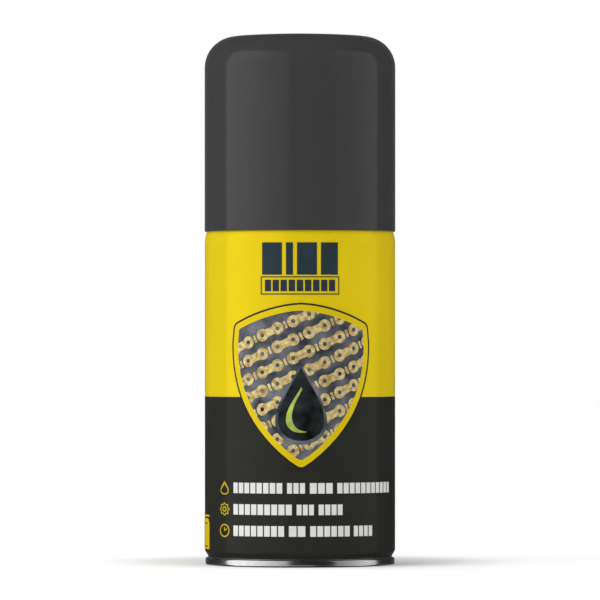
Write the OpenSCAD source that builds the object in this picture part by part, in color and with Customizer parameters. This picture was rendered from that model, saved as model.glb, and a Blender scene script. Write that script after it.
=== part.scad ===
// Chain lubricant spray can: a three-piece tinplate aerosol, 52 mm across, with a full-width overcap.
// It stands on its base seam at z = 0, turned about Z, and its printed front faces -Y.

/* [Can body] */
// Diameter over the printed body
can_d = 52; // [48:0.5:66]
// Height at which the body starts to narrow under the cap
shoulder_z = 87.6; // [84:0.2:240]
// Height of the neck under the top seam
top_neck_h = 8.8; // [7:0.1:12]
// Height of the neck above the base seam
base_neck_h = 2.3; // [2:0.1:5]
// How far the base neck draws in
base_neck_in = 0.98; // [0.6:0.02:1.6]
// Sheet thickness of the body
body_sheet = 0.25; // [0.18:0.01:0.3]
// Width of the varnished strip left bare along the weld
weld_strip_w = 4; // [2:0.5:8]
// Width of the welded lap
weld_w = 0.9; // [0.5:0.1:1.6]
// How far the welded lap stands out
weld_lift = 0.06; // [0.03:0.01:0.08]

/* [Seams] */
// Sheet thickness of the dome and the base
end_sheet = 0.3; // [0.22:0.01:0.34]
// Height of the seam that joins the dome
top_seam_h = 2.5; // [2.2:0.1:3.4]
// Height of the seam that joins the base
base_seam_h = 2; // [2:0.05:3.2]
// Width of the flat along the crest of a seam
seam_flat = 0.28; // [0.1:0.02:0.4]
// Sealing film between the layers of a seam
seam_film = 0.02; // [0.01:0.01:0.04]

/* [Dome and base] */
// Height of the dome's bead above the top seam
dome_rise = 14.2; // [11:0.2:20]
// Depth of the groove inside the top seam
dome_groove = 3.6; // [3:0.1:5]
// Inner diameter of the valve opening
opening_d = 25.4; // [25.2:0.1:25.6]
// Radius of the bead round the opening, to the middle of the sheet
bead_r = 1.25; // [1:0.05:1.5]
// Depth of the base wall inside the base seam
base_wall_h = 3.4; // [3:0.1:6]
// Rise of the hollow base from that wall to its middle
base_rise = 5.2; // [3:0.2:8]

/* [Valve] */
// Sheet thickness of the valve cup
cup_sheet = 0.3; // [0.25:0.01:0.35]
// Thickness of the gasket under the cup's rim
cup_gasket_t = 0.4; // [0.3:0.05:0.5]
// Depth of the cup's floor below the bead
cup_depth = 6.9; // [6.4:0.1:8]
// Radius of the cup's pedestal
pedestal_r = 5.4; // [5.2:0.1:6]
// Height of the pedestal above the cup's floor
pedestal_h = 5.7; // [5.4:0.1:7]
// Radius of the valve stem
stem_r = 1.95; // [1.7:0.05:2.1]
// Height of the stem above the pedestal
stem_reach = 7.4; // [6.4:0.1:9]
// Radius of the bore in the stem
stem_bore_r = 0.8; // [0.5:0.05:1]
// Travel of the stem when it is pressed
stem_travel = 1.5; // [1:0.1:2]
// Thickness of the stem gasket
stem_gasket_t = 1; // [0.8:0.1:1.4]
// Radius of the spring chamber
chamber_r = 2.6; // [2.5:0.05:2.9]
// Depth of the spring chamber
chamber_h = 9.3; // [8.6:0.1:12]
// Diameter of the spring wire
spring_wire = 0.4; // [0.3:0.05:0.5]
// Turns of the spring
spring_turns = 5.5; // [4:0.5:6]
// Radius of the pipe that the dip tube is pushed over
tail_r = 1.42; // [1.2:0.02:1.7]
// Length of that pipe
tail_h = 8; // [6:0.5:10]

/* [Dip tube] */
// Wall of the dip tube
tube_wall = 0.55; // [0.4:0.05:0.8]
// Radius of the tube's bend
tube_bend_r = 160; // [120:5:220]
// Angle through which the tube bends
tube_bend = 9; // [5:0.5:10]
// Length of the straight upper end
tube_straight = 30; // [24:1:36]
// Clearance between the tube's end and the base
tube_clear = 2.2; // [1.5:0.1:5]

/* [Spray button] */
// Radius of the button
button_r = 7; // [6.6:0.1:8]
// Height of the button
button_h = 16.8; // [15:0.2:20]
// Wall of the button
button_wall = 1.1; // [0.9:0.1:1.4]
// Radius of the finger dish
dish_r = 13; // [11:0.5:18]
// Depth of the finger dish
dish_depth = 1.8; // [1:0.1:2.4]
// Radius of the spray insert
insert_r = 2; // [1.7:0.1:2.3]
// Depth of the spray insert
insert_depth = 2.6; // [2:0.1:3]
// Radius of the spray hole
orifice_r = 0.3; // [0.2:0.05:0.5]

/* [Overcap] */
// Height of the cap
cap_h = 53.9; // [52:0.1:70]
// How far the cap's wall stands out past the body
cap_proud = 0.05; // [0:0.01:0.2]
// Wall of the cap
cap_wall = 0.95; // [0.8:0.05:1.1]
// Radius of the cap's upper edge
cap_corner = 8.5; // [4:0.5:12]
// Radius of the cap's crowned top
cap_crown = 250; // [150:10:600]
// Overlap of the cap and the shoulder, measured down from the neck's narrow end
cap_lap = 5.6; // [4:0.1:6]
// Number of ribs inside the cap
cap_ribs = 8; // [4:1:12]
// Thickness of a rib
rib_t = 1; // [0.8:0.1:1.4]
// Depth of a rib
rib_depth = 1.5; // [1.2:0.1:2]
// Height of a rib
rib_h = 26; // [16:1:30]

/* [Print] */
// Thickness of a printed layer
ink = 0.12; // [0.08:0.01:0.16]
// Height at which the yellow field meets the charcoal one
field_z = 45.9; // [36:0.5:60]
// Height of the top of the badge
badge_top = 71.3; // [68:0.1:72]
// Height of the badge, down to its tip
badge_h = 45.2; // [40:0.1:46]
// Widest half-width of the badge, along the can
badge_half = 20.6; // [15:0.1:22]
// Width of the dark line round the badge
badge_line = 0.5; // [0.25:0.05:0.6]
// Width of the yellow band inside that line
badge_band_w = 1.6; // [1:0.1:2]
// Pitch of the chain drawn in the badge
chain_pitch = 4.7; // [4.2:0.1:6]
// Height of the title's blocks
title_h = 8.7; // [6:0.1:8.7]
// Height of the feature bars
bar_h = 2.85; // [2:0.05:3.4]
// Distance between the feature lines
bar_step = 5.8; // [5:0.1:6.4]
// Height of the middle of the lowest feature line
bar_z = 9.75; // [9:0.05:12]
// Size of a feature icon
icon_size = 3.6; // [3:0.1:4.2]
// Width of the lines in an icon
icon_line = 0.36; // [0.25:0.01:0.45]

/* [Clearances] */
// Cap's inner wall round the top seam
cap_play = 0.25; // [0.15:0.05:0.4]
// Snap lugs round the top seam
lug_play = 0.1; // [0.05:0.01:0.15]
// Ribs above the top seam
rib_play = 0.12; // [0.05:0.01:0.3]
// Stem in its gasket, and button on its stem
stem_play = 0.05; // [0.03:0.01:0.1]
// Print round the tinplate
print_play = 0.015; // [0.01:0.005:0.03]
// Parts pushed together, such as the tube on its pipe
seat_play = 0.03; // [0.01:0.01:0.05]

/* [Hidden] */
$fn = 96;

yellow = "#e4cc18";
charcoal = "#2e2e2c";
slate = "#2b3a42";
cap_grey = "#3c3c3c";
tin = "#b9bcbe";
gold = "#c9ab62";
lime = "#b5c84a";
natural = "#e9e6dc";
rubber_black = "#222222";

// Body: radii of the tinplate, from the printed size inwards
print_r = can_d / 2;
tin_r = print_r - ink - print_play;
seam_stack = 2 * end_sheet + body_sheet + 3 * seam_film;
base_neck_r = tin_r - base_neck_in;
cap_r = print_r + cap_proud;
cap_inner_r = cap_r - cap_wall;
top_seam_r = cap_inner_r - cap_play;
top_neck_r = top_seam_r - seam_stack;
top_neck_in = tin_r - top_neck_r;
neck_gap = 0.05;
base_neck_top = base_seam_h + neck_gap + base_neck_h;
seam_low = shoulder_z + top_neck_h + neck_gap;
seam_top = seam_low + top_seam_h;

// Seams: half the distance between the two walls of each turn, and its corner
hook_half = (end_sheet + body_sheet + 2 * seam_film) / 2;
crest_half = 2 * hook_half;
crest_corner = crest_half - seam_flat / 2;
hook_corner = hook_half - seam_flat / 2;
crest_out = crest_corner + end_sheet / 2;
curl_out = hook_half + end_sheet / 2;
hook_gap = 0.12;

// Dome: chuck wall, groove and bead
function chuck_r(neck_r) = neck_r - body_sheet - seam_film - end_sheet / 2;
groove_r = 0.9;
dome_foot_r = chuck_r(top_neck_r) - 2 * groove_r;
dome_foot_z = seam_top - dome_groove;
throat_r = opening_d / 2 + end_sheet / 2;
throat_fillet = 0.8;
throat_h = 1.6;
bead_top = seam_top + dome_rise;
bead_z = bead_top - bead_r - end_sheet / 2;
bead_axis_r = throat_r + bead_r;
dome_head_z = bead_z - throat_h - throat_fillet;

// Valve: heights from the cup down to the dip tube and up to the button
gasket_mid_r = bead_r + end_sheet / 2 + seam_film + cup_gasket_t / 2;
rim_mid_r = gasket_mid_r + cup_gasket_t / 2 + seam_film + cup_sheet / 2;
cup_wall_r = bead_axis_r - rim_mid_r;
cup_floor_z = bead_top - cup_depth;
pedestal_z = cup_floor_z + pedestal_h;
pedestal_under = pedestal_z - cup_sheet / 2;
housing_flange_r = pedestal_r - cup_sheet / 2 - 0.12;
housing_r = housing_flange_r - 0.65;
housing_top = pedestal_under - stem_gasket_t - 2 * seat_play;
housing_flange_h = 2.1;
chamber_z = housing_top - chamber_h;
housing_floor = 1.5;
tail_top = chamber_z - housing_floor;
tail_bore_r = 0.8;
collar_r = chamber_r - 0.18;
collar_h = 1.5;
collar_top = housing_top - seat_play;
spigot_r = 1.05;
spigot_h = 1.8;
stem_top = pedestal_z + stem_reach;
spring_r = chamber_r - spring_wire / 2 - 0.45;
spring_low = chamber_z + 0.05;
spring_high = collar_top - collar_h - 0.05;

// Dip tube: where its bend starts and how far its end reaches
tube_r = tail_r + seat_play + tube_wall;
tube_top = tail_top - 0.1;
bend_z = tube_top - tube_straight;
bend_low = bend_z - tube_bend_r * sin(tube_bend);
bend_out = tube_bend_r * (1 - cos(tube_bend));
tube_end_z = base_wall_h + base_rise + tube_clear;
tube_run = (bend_low - tube_end_z) / cos(tube_bend);

// Spray button: set over the stem, clear of the cup when pressed
button_low = pedestal_z + 0.7 + stem_travel;
button_top = button_low + button_h;
hub_r = stem_r + stem_play + 1.5;
socket_top = stem_top + 0.15;
jet_z = button_low + 10.2;
jet_r = 0.7;
cavity_top = button_low + 8;

// Overcap: heights of its rim, its roof and the lugs
rim_z = seam_low - cap_lap;
cap_top = rim_z + cap_h;
roof_t = cap_wall + 0.15;
rim_land = 0.42;
lead_h = 2.6;
lug_top = seam_low - 0.25;
lug_h = 1.2;
lug_arc = 24;

// Print: radii of the two layers, and places along the can
over_r = print_r + ink * 0.8;
badge_u = 0.3;
badge_side_z = badge_top - 11;
title_gap = 0.45;
small_title_h = 3.1;
frame_line = 0.28;
frame_h = 4.9;
frame_half = 10.9;
frame_top = badge_top + 7.1;
letter_pitch = 1.95;
letter_gap = 0.36;
word_gap = 0.95;
bars_u = -19.85;
icons_u = -23.5;
panel_low = 4.4;
panel_h = 8.4;
panel_w = 17.4;
panel_inset = 1.45;
panel_turn = -90.4;

// Ink lines: lengths of the words that the blocks and bars stand for
title_widths = [5.6, 1.9, 5.4, 4.8];
feature_words = [[15.9, 4.8, 11.7, 7], [18, 5, 7.2], [15.4, 5.2, 6.7, 20.9]];

// A vector of length one, and the one to its left
function unit(v) = v / norm(v);
function left(v) = [-v[1], v[0]];

// Points along an arc, counted in steps
function arc(at, r, from, to, steps) =
    [for (i = [0:steps]) let(a = from + (to - from) * i / steps) at + r * [cos(a), sin(a)]];

// A path without repeated points
function clean(p) = [for (i = [0:len(p) - 1]) if (i == 0 || norm(p[i] - p[i - 1]) > 0.002) p[i]];

// The direction that halves the corner at point i, long enough to keep a parallel line parallel
function mitre(before, after) =
    let(m = unit(left(before) + left(after))) m / (m * left(before));

// A path moved to its left by d
function beside(p, d) = [for (i = [0:len(p) - 1])
    let(last = len(p) - 1,
        before = unit(i == 0 ? p[1] - p[0] : p[i] - p[i - 1]),
        after = unit(i == last ? p[last] - p[last - 1] : p[i + 1] - p[i]))
    p[i] + d * mitre(before, after)];

// A closed outline moved inwards by d, for points that run clockwise
function inset(p, d) = [for (i = [0:len(p) - 1])
    let(n = len(p), before = unit(p[i] - p[(i + n - 1) % n]), after = unit(p[(i + 1) % n] - p[i]))
    p[i] - d * mitre(before, after)];

function reversed(p) = [for (i = [len(p) - 1:-1:0]) p[i]];

// The section between two lines beside a path
function strip(p, d0, d1) = concat(beside(p, d0), reversed(beside(p, d1)));

// The section of a sheet of thickness t whose middle follows a path
function sheet(p, t) = strip(clean(p), t / 2, -t / 2);

// A turn over a crest with a flat along it, from the inner wall to the outer; up is 1 or -1
function crest(at, half, corner, up) = concat(
    [for (a = [180:-22.5:90])
        [at[0] - half + corner + corner * cos(a), at[1] + up * corner * sin(a)]],
    [for (a = [90:-22.5:0])
        [at[0] + half - corner + corner * cos(a), at[1] + up * corner * sin(a)]]);

// The middle of a seam, and the height of the centres of its crest
function seam_mid(neck_r) = neck_r - body_sheet / 2 + hook_half;

// The body's hook, from its wall; apex is the height of the seam's crest
function body_hook(neck_r, apex, up, seam_h) = concat(
    crest([seam_mid(neck_r), apex - up * crest_out], hook_half, hook_corner, up),
    [[seam_mid(neck_r) + hook_half, apex - up * (seam_h - curl_out - hook_gap / 2)]]);

// The end's hook, from its inner wall over the crest and round into the body's hook
function end_hook(neck_r, apex, up, seam_h) = let(m = seam_mid(neck_r)) concat(
    crest([m, apex - up * crest_out], crest_half, crest_corner, up),
    [for (a = [0:22.5:180])
        [m + hook_half * (1 + cos(a)), apex - up * (seam_h - curl_out + hook_half * sin(a))]],
    [[m, apex - up * (crest_out + hook_gap)]]);

// A smooth step from 0 to 1
function ease(t) = (1 - cos(180 * t)) / 2;

// The middle of the body's sheet along its two necks
mid_r = tin_r - body_sheet / 2;
function base_neck_line(steps) = [for (i = [0:steps]) let(t = i / steps)
    [mid_r - base_neck_in * (1 - ease(t)), base_neck_top - base_neck_h * (1 - t)]];
function top_neck_line(steps) = [for (i = [0:steps]) let(t = i / steps)
    [mid_r - top_neck_in * ease(t), shoulder_z + top_neck_h * t]];
base_steps = 8;
top_steps = 10;
body_wall_line = concat(base_neck_line(base_steps), top_neck_line(top_steps));

// A solid of revolution from a section, kept on its own side of the axis
module turned(points) {
    rotate_extrude()
        polygon([for (p = points) [max(p[0], 0), p[1]]]);
}

// Part of such a solid, over an arc centred on an angle
module turned_arc(points, middle, arc_deg) {
    rotate_extrude(angle = arc_deg, start = middle - arc_deg / 2)
        polygon(points);
}

module ring(outer, inner, low, high) {
    translate([0, 0, low])
        difference() {
            cylinder(r = outer, h = high - low);
            translate([0, 0, -1])
                cylinder(r = inner, h = high - low + 2);
        }
}

// Angle that a length covers along the printed can
function spread(w) = w / print_r * 180 / PI;

// Can: tube welded along its back, necked at both ends
module can_body() {
    middle = clean(concat(
        reversed(body_hook(base_neck_r, 0, -1, base_seam_h)),
        body_wall_line,
        body_hook(top_neck_r, seam_top, 1, top_seam_h)));
    color(tin) {
        turned(sheet(middle, body_sheet));
        turned_arc(strip(body_wall_line, -body_sheet / 4, -body_sheet / 2 - weld_lift), 90,
            spread(weld_w));
    }
}

module can_dome() {
    bead = arc([bead_axis_r, bead_z], bead_r, -120, 180, 20);
    neck = arc([throat_r + throat_fillet, dome_head_z + throat_fillet], throat_fillet, 180, 270, 4);
    head_r = throat_r + throat_fillet;
    shell = [for (a = [0:9:90])
        [head_r + (dome_foot_r - head_r) * sin(a),
            dome_foot_z + (dome_head_z - dome_foot_z) * cos(a)]];
    groove = arc([dome_foot_r + groove_r, dome_foot_z], groove_r, 180, 360, 8);
    color(tin)
        turned(sheet(concat(bead, neck, shell, groove,
            end_hook(top_neck_r, seam_top, 1, top_seam_h)), end_sheet));
}

module can_base() {
    r = chuck_r(base_neck_r);
    hollow = [for (a = [0:7.5:90]) [r * sin(a), base_wall_h + base_rise * cos(a)]];
    color(tin)
        turned(sheet(concat(hollow, end_hook(base_neck_r, 0, -1, base_seam_h)), end_sheet));
}

// Valve
cup_fillet = 0.8;
pedestal_fillet = 0.6;
cup_clinch = 0.75;
crimp = 0.42;
crimp_top = housing_top - housing_flange_h - 0.15;
crimp_h = 1.2;
pedestal_hole_r = stem_r + 0.35;

module valve_cup() {
    rim = arc([bead_axis_r, bead_z], rim_mid_r, -25, 180, 16);
    clinch_top = dome_head_z - 0.1;
    clinch_low = cup_floor_z + cup_fillet + 0.1;
    clinch = [for (i = [0:8]) let(t = i / 8)
        [cup_wall_r + cup_clinch * ease(2 * t), clinch_top + (clinch_low - clinch_top) * t]];
    corner = arc([cup_wall_r - cup_fillet, cup_floor_z + cup_fillet], cup_fillet, 0, -90, 4);
    foot = arc([pedestal_r + pedestal_fillet, cup_floor_z + pedestal_fillet], pedestal_fillet,
        270, 180, 4);
    waist = [for (i = [0:8]) let(t = i / 8)
        [pedestal_r - crimp * ease(2 * t), crimp_top - crimp_h * (1 - t)]];
    head = arc([pedestal_r - pedestal_fillet, pedestal_z - pedestal_fillet], pedestal_fillet,
        0, 90, 4);
    color(tin)
        turned(sheet(concat(rim, clinch, corner, foot, waist, head,
            [[pedestal_hole_r, pedestal_z]]), cup_sheet));
}

module cup_gasket() {
    color(rubber_black)
        turned(sheet(arc([bead_axis_r, bead_z], gasket_mid_r, 5, 175, 14), cup_gasket_t));
}

module valve_housing() {
    tail_low = tail_top - tail_h;
    chamfer = 0.8;
    color(natural)
        turned([
            [chamber_r, housing_top],
            [housing_flange_r, housing_top],
            [housing_flange_r, housing_top - housing_flange_h],
            [housing_r, housing_top - housing_flange_h],
            [housing_r, tail_top + chamfer],
            [housing_r - chamfer, tail_top],
            [tail_r, tail_top],
            [tail_r, tail_low + 0.5],
            [tail_r - 0.25, tail_low],
            [tail_bore_r, tail_low],
            [tail_bore_r, chamber_z],
            [chamber_r, chamber_z]]);
}

module stem_gasket() {
    color(rubber_black)
        ring(housing_flange_r - 0.4, stem_r + stem_play, housing_top + seat_play,
            housing_top + seat_play + stem_gasket_t);
}

// Spring: a round wire carried along a helix
module valve_spring() {
    sides = 8;
    steps = ceil(spring_turns * 20);
    wire_r = spring_wire / 2;
    low = spring_low + wire_r;
    high = spring_high - wire_r;
    points = [for (i = [0:steps], j = [0:sides - 1])
        let(a = 360 * spring_turns * i / steps, b = 360 * j / sides, r = spring_r + wire_r * cos(b))
        [r * cos(a), r * sin(a), low + (high - low) * i / steps + wire_r * sin(b)]];
    walls = [for (i = [0:steps - 1], j = [0:sides - 1]) let(k = (j + 1) % sides)
        [i * sides + j, i * sides + k, (i + 1) * sides + k, (i + 1) * sides + j]];
    first = [[for (j = [sides - 1:-1:0]) j]];
    last = [[for (j = [0:sides - 1]) steps * sides + j]];
    color("#a9adb0")
        polyhedron(points = points, faces = concat(walls, first, last), convexity = 8);
}

module valve_stem() {
    bore_low = housing_top + 0.1;
    port_r = 0.3;
    lip = 0.2;
    collar_low = collar_top - collar_h;
    color(natural)
        difference() {
            turned([
                [0, bore_low],
                [stem_bore_r, bore_low],
                [stem_bore_r, stem_top],
                [stem_r - lip, stem_top],
                [stem_r, stem_top - lip],
                [stem_r, collar_top],
                [collar_r, collar_top],
                [collar_r, collar_low],
                [spigot_r, collar_low],
                [spigot_r, collar_low - spigot_h],
                [0, collar_low - spigot_h]]);
            translate([0, 0, housing_top + seat_play + stem_gasket_t / 2])
                rotate([0, 90, 0])
                    cylinder(r = port_r, h = 2 * stem_r + 2, center = true);
        }
}

// Dip tube: its middle line runs straight down, round the bend and straight on towards the foot
tube_line = concat([[0, tube_top]],
    [for (i = [0:6]) let(a = tube_bend * i / 6)
        [tube_bend_r * (1 - cos(a)), bend_z - tube_bend_r * sin(a)]],
    [[bend_out + tube_run * sin(tube_bend), tube_end_z]]);

// The tilt of the tube at each point of that line
function tube_tilt(i) = let(last = len(tube_line) - 1,
    d = i == 0 ? tube_line[1] - tube_line[0]
        : i == last ? tube_line[last] - tube_line[last - 1]
        : tube_line[i + 1] - tube_line[i - 1])
    atan2(d[0], -d[1]);

module dip_tube() {
    sides = 24;
    rings = len(tube_line);
    walls = [tube_r, tube_r - tube_wall];
    points = [for (r = walls, i = [0:rings - 1], j = [0:sides - 1])
        let(a = 360 * j / sides, t = tube_tilt(i))
        [tube_line[i][0] + r * cos(a) * cos(t), r * sin(a), tube_line[i][1] + r * cos(a) * sin(t)]];
    inner = rings * sides;
    faces = [for (i = [0:rings - 2], j = [0:sides - 1], side = [0, 1])
        let(k = (j + 1) % sides, here = i * sides, next = here + sides,
            quad = [here + j, next + j, next + k, here + k])
        side == 0 ? reversed(quad) : [for (v = quad) v + inner]];
    ends = [for (i = [0, rings - 1], j = [0:sides - 1])
        let(k = (j + 1) % sides, here = i * sides,
            quad = [here + j, here + k, inner + here + k, inner + here + j])
        i == 0 ? reversed(quad) : quad];
    color("#dfe3e0")
        polyhedron(points = points, faces = concat(faces, ends), convexity = 4);
}

// Spray button: shell with a hub over the stem, webs between them and a dish for the finger
module spray_button() {
    draft = 0.3;
    edge = 1;
    web_t = 1;
    web_count = 4;
    top_r = button_r - draft;
    grip_count = 5;
    grip_r = 0.25;
    grip_step = 1.5;
    dish_low = button_top - dish_depth;
    color(natural)
        difference() {
            turned(concat(
                [[0, button_low], [button_r - 0.2, button_low], [button_r, button_low + 0.2]],
                arc([top_r - edge, button_top - edge], edge, 0, 90, 6),
                [[0, button_top]]));
            difference() {
                ring(button_r - button_wall, hub_r, button_low - 1, cavity_top);
                for (i = [0:web_count - 1])
                    rotate([0, 0, 45 + i * 360 / web_count])
                        translate([0, -web_t / 2, button_low + 2])
                            cube([button_r, web_t, cavity_top]);
            }
            translate([0, 0, button_low - 1])
                cylinder(r = stem_r + stem_play, h = socket_top - button_low + 1);
            translate([0, 0, socket_top - 1])
                cylinder(r = jet_r, h = jet_z - socket_top + 1);
            translate([0, 0, jet_z])
                rotate([90, 0, 0]) {
                    cylinder(r = jet_r, h = button_r);
                    translate([0, 0, button_r - insert_depth])
                        cylinder(r = insert_r, h = insert_depth + 1);
                }
            translate([0, 0, dish_low + dish_r])
                rotate([0, 90, 0])
                    cylinder(r = dish_r, h = 2 * button_r + 2, center = true);
            for (i = [0:grip_count - 1])
                let(y = (i - (grip_count - 1) / 2) * grip_step)
                translate([0, y, dish_low + dish_r - sqrt(dish_r * dish_r - y * y)])
                    rotate([0, 90, 0])
                        cylinder(r = grip_r, h = 2 * button_r + 2, center = true);
        }
}

module spray_insert() {
    seat = 0.02;
    set_back = 0.3;
    flare = 0.9;
    long = insert_depth - set_back - seat;
    color("#c8402a")
        translate([0, -(button_r - insert_depth) - seat, jet_z])
            rotate([90, 0, 0])
                difference() {
                    cylinder(r = insert_r - seat, h = long);
                    translate([0, 0, -1])
                        cylinder(r = orifice_r, h = long + 2);
                    translate([0, 0, long - 0.7])
                        cylinder(r1 = orifice_r, r2 = flare, h = 0.71);
                }
}

// Overcap
function cap_line(r, top, corner, crown, steps) =
    let(reach = r - corner, tilt = asin(reach / (crown - corner)),
        middle = top - crown + (crown - corner) * cos(tilt))
    concat(
        [for (i = [0:4]) let(a = tilt * i / 4) [crown * sin(a), top - crown + crown * cos(a)]],
        [for (i = [1:steps]) let(a = tilt + (90 - tilt) * i / steps)
            [reach + corner * sin(a), middle + corner * cos(a)]]);

module overcap() {
    rim_edge = 0.15;
    inner = cap_line(cap_inner_r, cap_top - roof_t, cap_corner - cap_wall, cap_crown - roof_t, 10);
    rib_low = seam_top + rib_play;
    bond = cap_wall / 3;
    color(cap_grey) {
        turned(concat(
            cap_line(cap_r, cap_top, cap_corner, cap_crown, 12),
            [[cap_r, rim_z + rim_edge],
                [cap_r - rim_edge, rim_z],
                [cap_r - rim_land, rim_z],
                [cap_inner_r, rim_z + lead_h]],
            reversed(inner)));
        for (i = [0:cap_ribs - 1])
            rotate([0, 0, (i + 0.5) * 360 / cap_ribs])
                rotate([90, 0, 0])
                    translate([0, 0, -rib_t / 2])
                        linear_extrude(rib_t)
                            polygon([
                                [cap_inner_r + bond, rib_low],
                                [cap_inner_r - rib_depth, rib_low],
                                [cap_inner_r - rib_depth, rib_low + rib_h - 4],
                                [cap_inner_r + bond, rib_low + rib_h]]);
        for (i = [0:3])
            turned_arc([
                [cap_inner_r + bond, lug_top],
                [cap_inner_r + bond, lug_top - lug_h],
                [top_seam_r + lug_play, lug_top - lug_h + 0.4],
                [top_seam_r + lug_play, lug_top - 0.3]], i * 90 + 45, lug_arc);
    }
}

// Print: the two fields lie on the tinplate and follow its necks, open along the weld
function wall_line(lift) = beside(body_wall_line, -body_sheet / 2 - lift);
function part(p, from, to) = [for (i = [from:to]) p[i]];

// The lower field starts just above the base seam, the upper one ends out of sight under the cap
charcoal_start = 0.4;
yellow_end = base_steps + 1 + round(top_steps * 0.6);
function charcoal_line(lift) = let(p = wall_line(lift))
    concat([p[0] + charcoal_start * (p[1] - p[0])], part(p, 1, base_steps), [[tin_r + lift, field_z]]);
function yellow_line(lift) = let(p = wall_line(lift))
    concat([[tin_r + lift, field_z]], part(p, base_steps + 1, yellow_end));

module field(inner, outer) {
    turned_arc(concat(inner, reversed(outer)), 270, 360 - spread(weld_strip_w));
}

module yellow_field() {
    color(yellow)
        field(yellow_line(print_play), yellow_line(print_play + ink));
}

module charcoal_field() {
    color(charcoal)
        field(charcoal_line(print_play), charcoal_line(print_play + ink));
}

// A point of the flat artwork, u along the can and z up, as it is seen from the front
function wrap(p) = [print_r * sin(spread(p[0])), p[1]];

module flat(points) {
    polygon([for (p = points) wrap(p)]);
}

// Artwork laid on the fields, drawn round a direction that is turned from the front
module printed(turn = 0) {
    rotate([0, 0, turn])
        intersection() {
            ring(over_r, print_r, base_neck_top, shoulder_z);
            rotate([90, 0, 0])
                linear_extrude(over_r + 1)
                    children();
        }
}

function box(u, z, w, h) = [[u, z], [u, z + h], [u + w, z + h], [u + w, z]];
function total(list, i = 0) = i < len(list) ? list[i] + total(list, i + 1) : 0;
function start(list, gap, i) = i == 0 ? 0 : start(list, gap, i - 1) + list[i - 1] + gap;
function moved(p, at, turn = 0) =
    [for (q = p) at + [q[0] * cos(turn) - q[1] * sin(turn), q[0] * sin(turn) + q[1] * cos(turn)]];
function round_line(r, steps = 28) =
    [for (i = [0:steps - 1]) let(a = 360 * i / steps) r * [sin(a), cos(a)]];

// Title: blocks in place of its letters, above a framed line of smaller ones
module title_blocks() {
    title_gap_u = 1.1;
    title_low = frame_top + title_gap;
    width = total(title_widths) + title_gap_u * (len(title_widths) - 1);
    small_count = 9;
    small_step = 2.2;
    small_w = 1.75;
    color(slate)
        printed() {
            for (i = [0:len(title_widths) - 1])
                flat(box(-width / 2 + start(title_widths, title_gap_u, i), title_low,
                    title_widths[i], title_h));
            difference() {
                flat(box(-frame_half, frame_top - frame_h, 2 * frame_half, frame_h));
                flat(box(-frame_half + frame_line, frame_top - frame_h + frame_line,
                    2 * (frame_half - frame_line), frame_h - 2 * frame_line));
            }
            for (i = [0:small_count - 1])
                flat(box((i - small_count / 2) * small_step + (small_step - small_w) / 2,
                    frame_top - (frame_h + small_title_h) / 2, small_w, small_title_h));
        }
}

// Feature lines: each bar is a run of blocks as long as a word
module feature_bars() {
    color("#ececea")
        printed()
            for (line = [0:len(feature_words) - 1], i = [0:len(feature_words[line]) - 1])
                let(w = feature_words[line][i], n = round(w / letter_pitch),
                    u = bars_u + start(feature_words[line], word_gap, i))
                for (k = [0:n - 1])
                    flat(box(u + k * w / n, bar_z + line * bar_step - bar_h / 2,
                        w / n - letter_gap, bar_h));
}

// A drop: its half-width is the sine of the way round times a power that draws its top to a point
drop_power = 1.5;
drop_fullest = 1.405;
function drop(w, h, steps = 32) = [for (i = [0:steps - 1]) let(t = 360 * i / steps)
    [w / drop_fullest * sin(t) * pow(abs(sin(t / 2)), drop_power), h / 2 * cos(t)]];

// A gear whose teeth rise from the root to the tip and fall again, each a share of its pitch wide
function gear(teeth, tip, root, foot_share = 0.36, head_share = 0.16) =
    [for (i = [0:teeth - 1], s = [[-foot_share, root], [-head_share, tip], [head_share, tip],
        [foot_share, root]])
        let(a = 360 / teeth * (i + s[0])) s[1] * [sin(a), cos(a)]];

// What lies between two closed outlines, made wider by a factor
module between(outer, inner, at, wide) {
    difference() {
        flat(moved([for (p = outer) [p[0] * wide, p[1]]], at));
        flat(moved([for (p = inner) [p[0] * wide, p[1]]], at));
    }
}

module feature_icons() {
    wide = 1.18;
    r = icon_size / 2;
    line = icon_line;
    drop_at = [icons_u, bar_z + 2 * bar_step];
    drop_w = icon_size * 0.86;
    drop_long = icon_size * 1.06;
    drop_less = 3.6 * line;
    drop_down = drop_less / 2 - line;
    gear_at = [icons_u, bar_z + bar_step];
    gear_teeth = 8;
    gear_root = r * 0.8;
    hub = r * 0.42;
    clock_at = [icons_u, bar_z];
    hand_up = r * 0.62;
    hand_side = r * 0.5;
    hand_turn = 25;
    color(yellow)
        printed() {
            difference() {
                flat(moved(drop(drop_w * wide, drop_long), drop_at));
                flat(moved(drop(drop_w * wide - 2 * line, drop_long - drop_less),
                    drop_at - [0, drop_down]));
            }
            between(gear(gear_teeth, r, gear_root), gear(gear_teeth, r - line, gear_root - line),
                gear_at, wide);
            between(round_line(hub), round_line(hub - line), gear_at, wide);
            between(round_line(r), round_line(r - line), clock_at, wide);
            flat(box(clock_at[0] - line / 2, clock_at[1] - line / 2, line, hand_up));
            flat(moved(box(line / 2, -line / 2, hand_side, line), clock_at, hand_turn));
        }
}

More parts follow.
